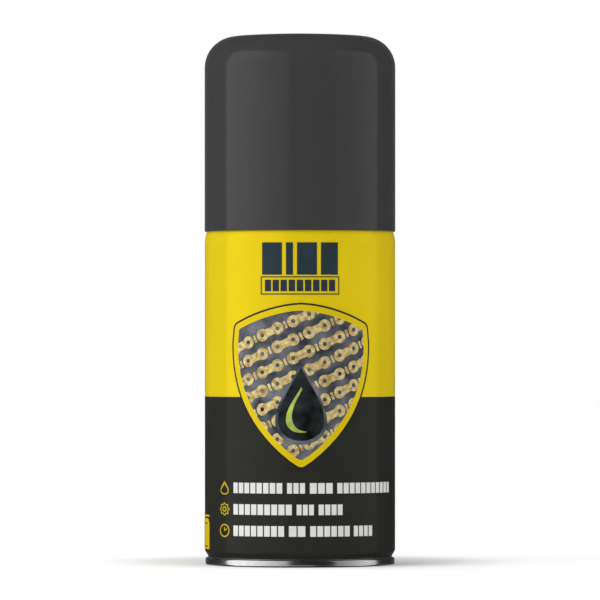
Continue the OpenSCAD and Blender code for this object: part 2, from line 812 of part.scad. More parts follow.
// Side panel: a plain framed field on the left of the can, with a thin rule above it
module side_panel() {
    rule_h = 0.5;
    rule_gap = 0.45;
    cut = 1.2;
    foot = 0.6;
    head = 1.2;
    w = panel_w - 2 * panel_inset;
    h = panel_h - foot - head;
    color(yellow)
        printed(panel_turn) {
            difference() {
                flat([[-panel_w / 2, panel_low], [-panel_w / 2, panel_low + panel_h],
                    [panel_w / 2 - cut, panel_low + panel_h],
                    [panel_w / 2, panel_low + panel_h - cut], [panel_w / 2, panel_low]]);
                difference() {
                    flat(box(-w / 2, panel_low + foot, w, h));
                    flat(box(-w / 2 + icon_line, panel_low + foot + icon_line, w - 2 * icon_line,
                        h - 2 * icon_line));
                }
            }
            flat(box(-panel_w / 2, panel_low + panel_h + rule_gap, panel_w, rule_h));
        }
}

// Badge: a shield whose top edge falls away by a power of the distance from its middle, and whose
// sides draw in by powers of the way down to a rounded tip
badge_fall = 5.05;
badge_fall_power = 1.66;
badge_side_powers = [2.15, 0.91];
badge_tip_r = 1.8;
function badge_edge(u) = badge_top - badge_fall * pow(u / (0.9 * badge_half), badge_fall_power);
badge_corner = 2.2;
badge_draw = 0.45;
corner_u = badge_half - badge_draw - badge_corner;
corner_a = 66;
corner_z = badge_edge(corner_u + badge_corner * cos(corner_a)) - badge_corner * sin(corner_a);
badge_steps = 16;
badge_right = concat(
    [for (i = [0:8]) let(u = corner_u * i / 8) [u, badge_edge(u)]],
    arc([corner_u, corner_z], badge_corner, corner_a, 0, 4),
    [for (i = [0:badge_steps - 1]) let(t = i / badge_steps)
        [badge_half * pow(1 - pow(t, badge_side_powers[0]), badge_side_powers[1]),
            badge_side_z - (badge_h - (badge_top - badge_side_z)) * t]]);
badge_whole = concat(badge_right, [[0, badge_top - badge_h]],
    [for (i = [len(badge_right) - 1:-1:1]) [-badge_right[i][0], badge_right[i][1]]]);

// An outline whose point at tip, with its sides alike, is rounded by an arc that touches both
function round_tip(p, tip, r) =
    let(side = unit(p[tip - 1] - p[tip]), half = acos(side[1]), at = p[tip] + [0, r / sin(half)])
    concat(part(p, 0, tip - 1), arc(at, r, -half, half - 180, 6), part(p, tip + 1, len(p) - 1));

module shield(d) {
    flat(moved(round_tip(inset(badge_whole, d), len(badge_right), badge_tip_r), [badge_u, 0]));
}

module badge_outline() {
    color(charcoal)
        printed()
            difference() {
                shield(0);
                shield(badge_line);
            }
}

module badge_band() {
    color(yellow)
        printed()
            difference() {
                shield(badge_line);
                shield(badge_line + badge_band_w);
            }
}

// Chain in the badge: rows of link plates, and the middle of the next plate between each two
row_turn = 24;
row_step = chain_pitch * 1.06;
row_count = 9;
first_row = 4;
links = 4;
plate_r = chain_pitch * 0.36;
waist_turn = 140;
pin_r = plate_r * 0.36;
plate_gap = 0.3;
bar_w = chain_pitch - 2 * (plate_r + plate_gap);
bar_half = plate_r * 0.6;
plate = concat(
    arc([chain_pitch / 2, 0], plate_r, waist_turn, -waist_turn, 10),
    arc([-chain_pitch / 2, 0], plate_r, waist_turn - 180, -180 - waist_turn, 10));

function on_row(p, row, along) =
    let(at = [badge_u, badge_top - first_row - row * row_step])
    moved(p, at + along * [cos(row_turn), sin(row_turn)], row_turn);

module chain_rows() {
    for (row = [0:row_count - 1], i = [-links:links])
        let(along = 2 * chain_pitch * (i + (row % 2) / 2)) {
            difference() {
                flat(on_row(plate, row, along));
                flat(on_row(round_line(pin_r, 10), row, along - chain_pitch / 2));
                flat(on_row(round_line(pin_r, 10), row, along + chain_pitch / 2));
            }
            flat(on_row(box(-bar_w / 2, -bar_half, bar_w, 2 * bar_half), row, along + chain_pitch));
        }
}

// Drop over the lower half of the chain
drop_w = 12.6;
drop_h = 20;
drop_at = [badge_u, badge_top - 1.36 * drop_h];
drop_margin = 0.8;

module drop_shape(grow) {
    flat(moved(drop(drop_w + 2 * grow, drop_h + 2.6 * grow, 44), drop_at));
}

// Gleam: the part of a smaller drop that its shifted copy leaves
module gleam_shape() {
    gleam_w = drop_w * 0.66;
    difference() {
        flat(moved(drop(gleam_w, drop_h * 0.62, 36), drop_at - [0, drop_h * 0.08]));
        flat(moved(drop(gleam_w, drop_h * 0.7, 36), drop_at + [drop_w * 0.13, -drop_h * 0.026]));
    }
}

module badge_chain() {
    color(gold)
        printed()
            difference() {
                intersection() {
                    shield(badge_line + badge_band_w);
                    chain_rows();
                }
                drop_shape(drop_margin);
            }
}

module badge_ground() {
    color("#4a5056")
        printed()
            difference() {
                shield(badge_line + badge_band_w);
                difference() {
                    chain_rows();
                    drop_shape(drop_margin);
                }
                drop_shape(0);
            }
}

module badge_drop() {
    color("#23231f")
        printed()
            difference() {
                drop_shape(0);
                gleam_shape();
            }
}

module badge_gleam() {
    color(lime)
        printed()
            gleam_shape();
}

can_body();
can_dome();
can_base();
valve_cup();
cup_gasket();
valve_housing();
stem_gasket();
valve_spring();
valve_stem();
dip_tube();
spray_button();
spray_insert();
overcap();
yellow_field();
charcoal_field();
title_blocks();
feature_bars();
feature_icons();
side_panel();
badge_outline();
badge_band();
badge_ground();
badge_chain();
badge_drop();
badge_gleam();
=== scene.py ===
# %% [markdown]
# # A tinplate spray can with its overcap
#
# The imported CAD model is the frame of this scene: every piece stands where the CAD says, in metres.
# This lesson gives that frame its looks. Surfaces that show are worked out again with numpy as
# fine, closed sheets, and the rest of the CAD nodes keep their shape and get a finish.

import math

import bmesh
import bpy
import numpy as np
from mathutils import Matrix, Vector


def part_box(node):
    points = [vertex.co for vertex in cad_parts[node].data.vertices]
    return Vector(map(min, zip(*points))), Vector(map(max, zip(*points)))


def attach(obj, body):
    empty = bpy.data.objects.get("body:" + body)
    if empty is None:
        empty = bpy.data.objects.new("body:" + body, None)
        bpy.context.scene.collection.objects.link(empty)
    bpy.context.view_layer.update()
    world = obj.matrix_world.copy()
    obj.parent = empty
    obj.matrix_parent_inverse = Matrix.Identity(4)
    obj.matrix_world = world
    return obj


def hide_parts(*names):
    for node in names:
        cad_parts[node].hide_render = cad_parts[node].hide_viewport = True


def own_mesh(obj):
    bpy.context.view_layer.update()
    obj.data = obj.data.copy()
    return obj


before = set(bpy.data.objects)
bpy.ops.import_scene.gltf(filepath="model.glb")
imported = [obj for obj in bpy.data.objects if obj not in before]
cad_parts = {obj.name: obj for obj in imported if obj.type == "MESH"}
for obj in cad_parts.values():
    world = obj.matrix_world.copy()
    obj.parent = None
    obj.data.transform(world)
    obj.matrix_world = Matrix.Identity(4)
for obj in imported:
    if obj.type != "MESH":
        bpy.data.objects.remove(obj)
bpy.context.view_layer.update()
MM = 0.001

# %% [markdown]
# The sizes come from two places. The boxes of the CAD nodes give the radii and heights that the
# new surfaces have to keep. The gauges of the sheet and the heights of the necks can't be read off
# a box, so they are named here once, in millimetres, as a tin maker would write them.


# %% Sizes in millimetres
def extent(node):
    """The radius, the lowest and the highest point of a CAD node, in millimetres."""
    low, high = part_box(node)
    return max(-low.x, high.x) / MM, low.z / MM, high.z / MM


tin_r = extent("can_body")[0]
print_r, field_z, yellow_top = extent("yellow_field")
charcoal_low = extent("charcoal_field")[1]
cap_r, rim_z, cap_top = extent("overcap")
top_seam_r, _, bead_top = extent("can_dome")
base_seam_r = extent("can_base")[0]

body_sheet, end_sheet, cup_sheet = 0.25, 0.30, 0.30
seam_film, seam_flat, hook_gap = 0.02, 0.28, 0.12
base_seam_h, top_seam_h = 2.0, 2.5
base_neck_low, base_neck_top = 2.05, 4.35
shoulder_z, top_neck_top = 87.6, 96.4
seam_top = 98.95
# From a neck's wall outwards: two layers of the end, one of the body, and a film beside each.
seam_stack = 2 * end_sheet + body_sheet + 3 * seam_film
top_neck_r = top_seam_r - seam_stack
base_neck_r = base_seam_r - seam_stack
print("body", tin_r, "printed", print_r, "cap", cap_r, "from", rim_z, "to", cap_top)

# %% [markdown]
# Nearly every part of a can is turned: rolled, necked or pressed round one axis. So the main tool
# is a section, a closed outline in radius and height, that is carried round Z. Sheet metal gets
# its section from one line along the middle of the sheet and its thickness. Spin or a Screw
# modifier could do the turning too, but a grid of points keeps every row and column in our hands.

# %% Lines and sections
SAME_POINT = 0.002


def arc(middle, radius, start, end, steps):
    """Points on a circle, from a start to an end in degrees.

    Each is the middle plus the radius times the cosine and the sine of its angle.
    """
    a = np.radians(np.linspace(start, end, steps + 1))
    return np.column_stack([middle[0] + radius * np.cos(a), middle[1] + radius * np.sin(a)])


def ease(t):
    """A smooth step from 0 to 1: half of one minus the cosine of a half turn."""
    return (1 - np.cos(np.pi * t)) / 2


def line(*pieces):
    """Joins stretches of a line and drops points that repeat the one before them."""
    points = np.vstack(pieces)
    step = np.linalg.norm(np.diff(points, axis=0, prepend=points[:1] + 1), axis=1)
    return points[step > SAME_POINT]


def beside(path, distance):
    """Moves a line to its left by a distance.

    A point goes along its mitre: the sum of the directions that lie left of the stretches before
    and after it, over one plus the cosine of the angle between the two.
    """
    step = np.diff(path, axis=0)
    step /= np.linalg.norm(step, axis=1)[:, None]
    left = np.column_stack([-step[:, 1], step[:, 0]])
    before, after = np.vstack([left[:1], left]), np.vstack([left, left[-1:]])
    mitre = (before + after) / (1 + (before * after).sum(1))[:, None]
    return path + distance * mitre


def sheet(path, thickness):
    """The section of a sheet: half its thickness to either side of a path, never past the axis."""
    section = np.vstack([beside(path, thickness / 2), beside(path, -thickness / 2)[::-1]])
    section[:, 0] = np.maximum(section[:, 0], 0)
    return section


print("a smooth step starts at", ease(0), "and is half-way at", round(ease(0.5), 3))

# %% [markdown]
# A section becomes a surface when it is repeated at many angles. All the points are worked out as
# one array, and the faces are quads between neighbours on that grid, so no loop goes over them. A
# full turn closes on itself, and part of a turn gets a face of quads at each end.

# %% Grids and turned surfaces
COLUMNS = 192
TURN = np.linspace(0, 2 * np.pi, COLUMNS + 1)[:-1]


def grid_faces(rows, columns, close_rows, close_columns):
    """Quads between neighbours of a grid whose points are numbered row by row."""
    r = np.arange(rows if close_rows else rows - 1)
    c = np.arange(columns if close_columns else columns - 1)
    r, c = np.meshgrid(r, c, indexing="ij")
    r_next, c_next = (r + 1) % rows, (c + 1) % columns
    corners = [r * columns + c, r_next * columns + c,
               r_next * columns + c_next, r * columns + c_next]
    return np.stack(corners, -1).reshape(-1, 4)


def turned(section, angles=TURN, closed=True):
    """A closed section round Z: radius r and height z give r cos a, r sin a, z at each angle a."""
    a = angles[:, None]
    r, z = section[:, 0], section[:, 1]
    points = np.stack([r * np.cos(a), r * np.sin(a), z + 0 * a], -1).reshape(-1, 3)
    faces = grid_faces(len(angles), len(section), closed, True)
    if not closed:
        count = len(section)
        i = np.arange(count // 2 - 1)
        end = np.column_stack([i, i + 1, count - 2 - i, count - 1 - i])
        faces = np.vstack([faces, end, end + (len(angles) - 1) * count])
    return points, faces


print("on the body the columns are", round(2 * np.pi * tin_r / COLUMNS, 2), "mm apart")

# %% [markdown]
# One function turns such parts into a finished piece. It joins them, merges the points that meet at
# poles, lets every face point outwards, keeps real edges sharp, hides the CAD node that the piece
# stands for, hangs the piece on the body that it rides on, and prints how far its box is off the
# node's. Modifiers could do some of it, but they would stay live, and a finished mesh is easier to
# measure and to export.

# %% Make a piece
MERGE = 1e-7
SHARP = math.radians(38)


def new_object(name, data):
    """An object at the origin, linked to the scene."""
    thing = bpy.data.objects.new(name, data)
    bpy.context.scene.collection.objects.link(thing)
    return thing


def make_piece(name, parts, material, body, node):
    """Makes one mesh from several parts, in place of a CAD node.

    Each part is its points, in millimetres, and its faces. In the mesh they are in metres.
    """
    points, faces, count = [], [], 0
    for part_points, part_faces in parts:
        points.append(part_points)
        faces += (part_faces + count).tolist()
        count += len(part_points)
    mesh = bpy.data.meshes.new(name)
    mesh.from_pydata((np.vstack(points) * MM).tolist(), [], faces)
    shell = bmesh.new()
    shell.from_mesh(mesh)
    bmesh.ops.remove_doubles(shell, verts=shell.verts, dist=MERGE)
    bmesh.ops.dissolve_degenerate(shell, edges=shell.edges, dist=MERGE)
    bmesh.ops.recalc_face_normals(shell, faces=shell.faces)
    shell.to_mesh(mesh)
    shell.free()
    mesh.shade_smooth()
    mesh.set_sharp_from_angle(angle=SHARP)
    mesh.materials.append(material)
    piece = new_object(name, mesh)
    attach(piece, body)
    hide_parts(node)
    ours, theirs = np.array(piece.bound_box) / MM, np.array(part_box(node)) / MM
    off = max(np.abs(ours.min(0) - theirs[0]).max(), np.abs(ours.max(0) - theirs[1]).max())
    print(f"{name}: {len(mesh.polygons)} faces, box off its node by {off:.3f} mm")
    return piece


print("edges over", round(math.degrees(SHARP)), "degrees stay sharp")

# %% [markdown]
# Colours are written as sRGB hex values, as a designer picks them, and one function turns them to
# the linear values that the shader wants. Another adds a node with its settings and links, so
# that a material reads as a short list. Noise seldom leaves the range from 0.3 to 0.7, so the two
# shades of a finish are set there.

# %% Colours and nodes
DARK_AT, LIGHT_AT = 0.3, 0.7


def linear(colour):
    """An sRGB hex colour as linear red, green, blue and alpha.

    A value up to 0.04045 is divided by 12.92. To a higher one 0.055 is added, it is divided by
    1.055 and raised to the power 2.4.
    """
    srgb = np.array([int(colour[i:i + 2], 16) for i in (1, 3, 5)]) / 255
    value = np.where(srgb <= 0.04045, srgb / 12.92, ((srgb + 0.055) / 1.055) ** 2.4)
    return (*value.tolist(), 1.0)


def add(tree, kind, inputs=None, stops=(), **settings):
    """Adds a node.

    Settings are its own properties. An input is linked if it is a socket, or else set. Stops are
    the places and hex colours of a colour ramp.
    """
    node = tree.nodes.new("ShaderNode" + kind)
    for name, value in settings.items():
        setattr(node, name, value)
    for name, value in (inputs or {}).items():
        if isinstance(value, bpy.types.NodeSocket):
            tree.links.new(value, node.inputs[name])
        else:
            node.inputs[name].default_value = value
    for index, (at, colour) in enumerate(stops):
        node.color_ramp.elements[index].position = at
        node.color_ramp.elements[index].color = linear(colour)
    return node


def per(size_mm):
    """The scale of a texture whose features are so many millimetres apart: one over the size."""
    return 1 / (size_mm * MM)


def new_material(name):
    """An empty material and its node tree."""
    material = bpy.data.materials.new(name)
    material.use_nodes = True
    material.node_tree.nodes.clear()
    return material, material.node_tree


WHITE = linear("#ffffff")
print("sRGB #808080 is", round(linear("#808080")[0], 3), "in linear light")

# %% [markdown]
# The print on the can is lithographed tinplate: translucent inks rolled onto tinned steel and
# stoved under a clear varnish. The steel shows through a little, so the surface is partly
# metallic and its reflections take the ink's colour. The varnish is smooth, with a long, very low
# orange peel that bends the edges of the reflections. A clear coat over a painted base could
# stand for it too, but it would lose the metal's tint.


# %% Lithographed tinplate
def lithographed_tinplate(name, dark, light, metal=0.14, patch_mm=9.0, roughness=0.15):
    """Inked and varnished tinplate.

    Two close shades of one ink drift over patches of a few millimetres. The bump is the peel plus
    the grain, and the grain moves the roughness too. The real grain is too fine to show, so it is
    drawn at 0.35 mm, a little over a pixel.
    """
    grain_mm, peel_mm = 0.35, 6
    material, tree = new_material(name)
    place = add(tree, "TexCoord").outputs["Object"]
    drift = add(tree, "TexNoise", {"Vector": place, "Scale": per(patch_mm), "Detail": 2.0})
    tone = add(tree, "ValToRGB", {"Fac": drift.outputs["Fac"]},
               stops=((DARK_AT, dark), (LIGHT_AT, light)))
    grain = add(tree, "TexNoise", {"Vector": place, "Scale": per(grain_mm), "Detail": 1.0})
    peel = add(tree, "TexNoise", {"Vector": place, "Scale": per(peel_mm), "Detail": 1.0})
    height = add(tree, "Math", {0: peel.outputs["Fac"], 1: grain.outputs["Fac"]}, operation="ADD")
    bump = add(tree, "Bump", {"Height": height.outputs[0], "Strength": 0.12,
                              "Distance": 0.03 * MM})
    gloss = add(tree, "MapRange", {"Value": grain.outputs["Fac"], "To Min": roughness - 0.02,
                                   "To Max": roughness + 0.03})
    surface = add(tree, "BsdfPrincipled", {
        "Base Color": tone.outputs["Color"],
        "Metallic": metal,
        "Roughness": gloss.outputs["Result"],
        "Specular IOR Level": 0.05,
        "Normal": bump.outputs["Normal"]})
    add(tree, "OutputMaterial", {"Surface": surface.outputs["BSDF"]})
    return material


yellow_ink = lithographed_tinplate("yellow_lithographed_tinplate", "#e8cd17", "#ecd11a")
charcoal_ink = lithographed_tinplate("charcoal_lithographed_tinplate", "#2e2e2b", "#31312e")
print("inks ready:", yellow_ink.name, "and", charcoal_ink.name)

# %% [markdown]
# Bare tinplate shows at the two seams, on the dome and under the can. It is steel cold rolled on
# ground rolls and plated with tin, so it is bright, with fine lines from the rolls. The lines run
# one way over the flat blank, and on a pressed end they look like soft rings once it is turned,
# so the noise is stretched round the axis. Anisotropic gloss could give the same streak, but it
# needs tangents that a turned end doesn't have at its middle.


# %% Bright tinplate
def bright_tinplate(name, dark="#dfe1e2", light="#f2f4f5", roughness=0.19, metal=1.0):
    """Tin-plated steel, bright, with soft lines.

    The roll lines shade the colour and make the bump, and slow clouds move the roughness. Real
    lines are finer than a pixel, so they are drawn 0.25 mm apart.
    """
    lines_mm, cloud_mm, round_axis = 0.25, 5, (0.15, 0.15, 1.0)
    material, tree = new_material(name)
    place = add(tree, "TexCoord").outputs["Object"]
    stretched = add(tree, "Mapping", {"Vector": place, "Scale": round_axis})
    lines = add(tree, "TexNoise", {"Vector": stretched.outputs["Vector"],
                                   "Scale": per(lines_mm), "Detail": 3.0})
    tone = add(tree, "ValToRGB", {"Fac": lines.outputs["Fac"]},
               stops=((DARK_AT, dark), (LIGHT_AT, light)))
    cloud = add(tree, "TexNoise", {"Vector": place, "Scale": per(cloud_mm), "Detail": 2.0})
    bump = add(tree, "Bump", {"Height": lines.outputs["Fac"], "Strength": 0.1,
                              "Distance": 0.01 * MM})
    gloss = add(tree, "MapRange", {"Value": cloud.outputs["Fac"], "To Min": roughness - 0.03,
                                   "To Max": roughness + 0.04})
    surface = add(tree, "BsdfPrincipled", {
        "Base Color": tone.outputs["Color"],
        "Metallic": metal,
        "Roughness": gloss.outputs["Result"],
        "Normal": bump.outputs["Normal"]})
    add(tree, "OutputMaterial", {"Surface": surface.outputs["BSDF"]})
    return material


tinplate = bright_tinplate("bright_tinplate")
print("tinplate ready:", tinplate.name)

# %% [markdown]
# A double seam locks an end to the body without solder. The body's edge is turned out over itself,
# and the edge of the end goes over it, down outside and up into its hook, so a cut shows five
# layers. One plain rounded ring would look the same from afar, but not from below or in a cut, so
# each edge is its own line of arcs, as far from the next as the rollers leave it.

# %% Double seams
hook_half = (end_sheet + body_sheet + 2 * seam_film) / 2
crest_half = 2 * hook_half
crest_out = crest_half - seam_flat / 2 + end_sheet / 2
curl_out = hook_half + end_sheet / 2


def crest(middle, half, up):
    """A turn over a crest, from the inner wall to the outer: a quarter circle, a flat, another."""
    corner = half - seam_flat / 2
    inner = arc((middle[0] - half + corner, 0), corner, 180, 90, steps=8)
    outer = arc((middle[0] + half - corner, 0), corner, 90, 0, steps=8)
    turn = np.vstack([inner, outer])
    return np.column_stack([turn[:, 0], middle[1] + up * turn[:, 1]])


def seam_middle(neck_r):
    """The radius of the middle of a seam: half a hook outside the middle of the neck's wall."""
    return neck_r - body_sheet / 2 + hook_half


def body_hook(neck_r, apex, up, seam_h):
    """The body's edge turned out over itself: a crest, then straight down outside."""
    m = seam_middle(neck_r)
    tip = [[m + hook_half, apex - up * (seam_h - curl_out - hook_gap / 2)]]
    return np.vstack([crest((m, apex - up * crest_out), hook_half, up), tip])


def end_hook(neck_r, apex, up, seam_h):
    """The edge of the dome or the base: a crest, a half circle outside, then up into the hook."""
    m = seam_middle(neck_r)
    curl = arc((m + hook_half, 0), hook_half, 0, 180, steps=12)
    curl[:, 1] = apex - up * (seam_h - curl_out + curl[:, 1])
    tip = [[m, apex - up * (crest_out + hook_gap)]]
    return np.vstack([crest((m, apex - up * crest_out), crest_half, up), curl, tip])


print("a seam stands", round(seam_stack, 2), "mm out from its neck")

# %% [markdown]
# The can's body starts as a flat printed blank. It is rolled into a tube, welded along a narrow
# lap, necked in at both ends, and its edges are hooked into the seams. The tube is one sheet from
# hook to hook, so its middle is drawn as one line: hook, neck, wall, neck, hook. A cylinder with
# its ends scaled in would be quicker, but it has no hooks and the wrong curve in the necks.

# %% The body's line
mid_r = tin_r - body_sheet / 2


def neck(wide, drawn, low, high, steps=24):
    """A neck: the radius eases from wide at the low end to wide less drawn at the high one."""
    t = np.linspace(0, 1, steps + 1)
    return np.column_stack([wide - drawn * ease(t), low + (high - low) * t])


wall = line(neck(mid_r, tin_r - base_neck_r, base_neck_top, base_neck_low)[::-1],
            neck(mid_r, tin_r - top_neck_r, shoulder_z, top_neck_top))
body_line = line(body_hook(base_neck_r, 0, -1, base_seam_h)[::-1], wall,
                 body_hook(top_neck_r, seam_top, 1, top_seam_h))
print("the body's line has", len(body_line), "points")

# %% [markdown]
# The weld stands out a little where the two edges of the blank were mashed together. Displacement
# could lift it, but on the grid it is a low bump over a few columns, which are packed close there
# and wide elsewhere.

# %% The weld's bump
weld_w, weld_lift, weld_at = 0.9, 0.06, np.pi / 2
close_reach, close_columns, wide_columns = 2.2, 25, 180
bump_foot, bump_slope = 0.7, 2
near = np.linspace(-close_reach, close_reach, close_columns) * weld_w / tin_r
far = np.linspace(near[-1], 2 * np.pi + near[0], wide_columns)[1:-1]
body_turn = weld_at + np.concatenate([near, far])
body_points, body_faces = turned(sheet(body_line, body_sheet), body_turn)
height = body_points[:, 2]
# The distance from the weld is counted in widths of the weld.
across = np.abs(np.arctan2(body_points[:, 0], body_points[:, 1]) * tin_r) / weld_w
along = np.clip(np.minimum(height - base_neck_top, top_neck_top - height), 0, 1)
lift = weld_lift * ease(np.clip(bump_slope * (bump_foot - across), 0, 1)) * along
body_points[:, :2] *= (1 + lift / tin_r)[:, None]
print("the weld stands", round(lift.max(), 3), "mm proud")

# %% [markdown]
# The blank is left without ink along the weld, under a stripe of varnish that dulls the metal, and
# the heat of welding leaves a blue-grey line there. A second material on a few faces could show
# it, but its edge would be a staircase, so the line is mixed in by its distance from the weld. The
# front of the can has no such line.


# %% Can body
def welded_tinplate():
    """Dull tinplate with the blue-grey line that welding leaves along the back.

    The line is full up to 0.4 mm from the weld's middle and gone at 1.1 mm. A noise of 0.2 mm
    either way makes its edges waver.
    """
    full_mm, gone_mm, waver_mm, waver_every_mm = 0.4, 1.1, 0.2, 1.2
    material = bright_tinplate("welded_tinplate", "#a5a9ab", "#bfc2c3", roughness=0.34, metal=0.7)
    tree = material.node_tree
    surface = next(n for n in tree.nodes if n.type == "BSDF_PRINCIPLED")
    plain = surface.inputs["Base Color"].links[0].from_socket
    place = add(tree, "TexCoord").outputs["Object"]
    parts = add(tree, "SeparateXYZ", {"Vector": place})
    edge = add(tree, "TexNoise", {"Vector": place, "Scale": per(waver_every_mm), "Detail": 2.0})
    waver = add(tree, "MapRange", {"Value": edge.outputs["Fac"], "To Min": -waver_mm * MM,
                                   "To Max": waver_mm * MM})
    shifted = add(tree, "Math", {0: parts.outputs["X"], 1: waver.outputs["Result"]},
                  operation="ADD")
    distance = add(tree, "Math", {0: shifted.outputs[0]}, operation="ABSOLUTE")
    heat = add(tree, "MapRange", {"Value": distance.outputs[0], "From Min": full_mm * MM,
                                  "From Max": gone_mm * MM, "To Min": 1.0, "To Max": 0.0})
    back = add(tree, "Math", {0: parts.outputs["Y"], 1: 0.0}, operation="GREATER_THAN")
    mark = add(tree, "Math", {0: heat.outputs["Result"], 1: back.outputs[0]},
               operation="MULTIPLY")
    # Sockets 6 and 7 of a Mix node are its two colours, and output 2 is the mixed colour.
    mixed = add(tree, "Mix", {"Factor": mark.outputs[0], 6: plain, 7: linear("#5b626b")},
                data_type="RGBA")
    tree.links.new(mixed.outputs[2], surface.inputs["Base Color"])
    return material


make_piece("tin_body", [(body_points, body_faces)], welded_tinplate(), "can",
           "can_body")

# %% [markdown]
# The two fields of colour are the print itself: a skin that follows the tube and its necks from
# one edge of the bare strip round the front to the other. A mask in the tin's material could
# paint them, but a skin of its own can be given another finish, and its edge at the bare strip is
# real. Each is the section between the inner and the outer face of the ink, carried over less
# than a full turn and closed at its ends.

# %% Printed fields
print_play, bare_w, field_columns = 0.015, 4.0, 190
ink = print_r - tin_r - print_play
half_gap = bare_w / print_r / 2
field_turn = np.linspace(weld_at + half_gap, weld_at + 2 * np.pi - half_gap, field_columns)


def wall_between(low, high, lift):
    """The tin's outer face moved outwards, cut off between two heights."""
    outside = beside(wall, -body_sheet / 2 - lift)
    inside = outside[(outside[:, 1] > low) & (outside[:, 1] < high)]
    ends = [[np.interp(z, outside[:, 1], outside[:, 0]), z] for z in (low, high)]
    return np.vstack([ends[:1], inside, ends[1:]])


def respaced(path, count):
    """The same line with another number of points, evenly spread over its own numbering."""
    at, own = np.linspace(0, 1, count), np.linspace(0, 1, len(path))
    return np.column_stack([np.interp(at, own, path[:, k]) for k in (0, 1)])


def field(name, low, high, material, node):
    """A printed skin between two heights, as thick as the CAD's layer of ink."""
    inner, outer = (wall_between(low, high, print_play + t) for t in (0, ink))
    count = 2 * min(len(inner), len(outer))
    section = np.vstack([respaced(inner, count), respaced(outer, count)[::-1]])
    make_piece(name, [turned(section, field_turn, closed=False)], material, "can", node)


field("yellow_print", field_z, yellow_top, yellow_ink, "yellow_field")
field("charcoal_print", charcoal_low, field_z, charcoal_ink, "charcoal_field")

# %% [markdown]
# The base is pressed hollow, so that the gas can't push it out, and its edge is rolled together
# with the body's hook. What shows of it from the side is the bright ring of that double seam. A
# disc pushed up with proportional editing would give the hollow, but the line of a press tool is
# simpler: a quarter of an ellipse from the middle to the wall, and then the hook.


# %% Base
def vault(inner_r, outer_r, foot_z, rise, count):
    """A quarter of an ellipse, from its top at the inner radius to its foot at the outer one.

    The radius grows with the sine of the angle, and the height falls with the cosine.
    """
    a = np.radians(np.linspace(0, 90, count))
    return np.column_stack([inner_r + (outer_r - inner_r) * np.sin(a), foot_z + rise * np.cos(a)])


base_wall_h, base_rise = 3.4, 5.2
base_r = base_neck_r - body_sheet - seam_film - end_sheet / 2
base_line = line(vault(0, base_r, base_wall_h, base_rise, count=40),
                 end_hook(base_neck_r, 0, -1, base_seam_h))
make_piece("tin_base", [turned(sheet(base_line, end_sheet))], tinplate, "can",
           "can_base")

# %% [markdown]
# The dome is pressed from tinplate too. Its rim is seamed to the neck, a groove runs inside the
# seam, and its mouth is curled outwards into a bead that carries the valve cup. Its line is made
# like the base's, with the bead's curl before it and the groove's half circle after it, because a
# torus pushed into a cone would leave a crease where the real sheet flows.

# %% Dome
opening_d, bead_r, curl_start = 25.4, 1.25, -120
dome_groove, groove_r = 3.6, 0.9
throat_h, throat_fillet = 1.6, 0.8
throat_r = opening_d / 2 + end_sheet / 2
bead_z = bead_top - bead_r - end_sheet / 2
bead_axis_r = throat_r + bead_r
dome_foot_r = top_neck_r - body_sheet - seam_film - end_sheet / 2 - 2 * groove_r
dome_foot_z = seam_top - dome_groove
dome_head_z = bead_z - throat_h - throat_fillet
head_r = throat_r + throat_fillet
dome_line = line(
    arc((bead_axis_r, bead_z), bead_r, curl_start, 180, steps=36),
    arc((head_r, dome_head_z + throat_fillet), throat_fillet, 180, 270, steps=8),
    vault(head_r, dome_foot_r, dome_foot_z, dome_head_z - dome_foot_z, count=32),
    arc((dome_foot_r + groove_r, dome_foot_z), groove_r, 180, 360, steps=16),
    end_hook(top_neck_r, seam_top, 1, top_seam_h))
make_piece("tin_dome", [turned(sheet(dome_line, end_sheet))], tinplate, "can",
           "can_dome")

# %% [markdown]
# The valve cup hooks over the bead, is clinched outwards below it, and rises in its middle to a
# pedestal that is crimped round the valve's housing. A press makes it from one round blank, so it
# is one line too, from the hook's edge to the hole for the stem. Booleans could join a ring, a
# floor and a post, but their edges would be sharp where the sheet is bent.

# %% Valve cup
cup_gasket_t, cup_depth, cup_fillet, cup_clinch, clinch_play = 0.4, 6.9, 0.8, 0.75, 0.1
pedestal_r, pedestal_h, pedestal_fillet = 5.4, 5.7, 0.6
crimp, crimp_h, stem_hole_r = 0.42, 1.2, 2.3
housing_flange_h, crimp_play, stem_gasket_t, seat_play = 2.1, 0.15, 1.0, 0.03
rim_mid_r = bead_r + end_sheet / 2 + cup_gasket_t + 2 * seam_film + cup_sheet / 2
rim_start = -25
cup_wall_r = bead_axis_r - rim_mid_r
cup_floor_z = bead_top - cup_depth
pedestal_z = cup_floor_z + pedestal_h
housing_top = pedestal_z - cup_sheet / 2 - stem_gasket_t - 2 * seat_play
crimp_top = housing_top - housing_flange_h - crimp_play
clinch_top = dome_head_z - clinch_play
clinch_low = cup_floor_z + cup_fillet + clinch_play


def swell(radius, out, start, end, count=20):
    """A wall from one height to another that goes out, or in, by so much half-way, smoothly."""
    t = np.linspace(0, 1, count)
    return np.column_stack([radius + out * ease(2 * t), start + (end - start) * t])


cup_line = line(
    arc((bead_axis_r, bead_z), rim_mid_r, rim_start, 180, steps=32),
    swell(cup_wall_r, cup_clinch, clinch_top, clinch_low),
    arc((cup_wall_r - cup_fillet, cup_floor_z + cup_fillet), cup_fillet, 0, -90, steps=8),
    arc((pedestal_r + pedestal_fillet, cup_floor_z + pedestal_fillet), pedestal_fillet, 270, 180,
        steps=8),
    swell(pedestal_r, -crimp, crimp_top - crimp_h, crimp_top),
    arc((pedestal_r - pedestal_fillet, pedestal_z - pedestal_fillet), pedestal_fillet, 0, 90,
        steps=8),
    [[stem_hole_r, pedestal_z]])
make_piece("cup_sheet", [turned(sheet(cup_line, cup_sheet))], tinplate, "can",
           "valve_cup")

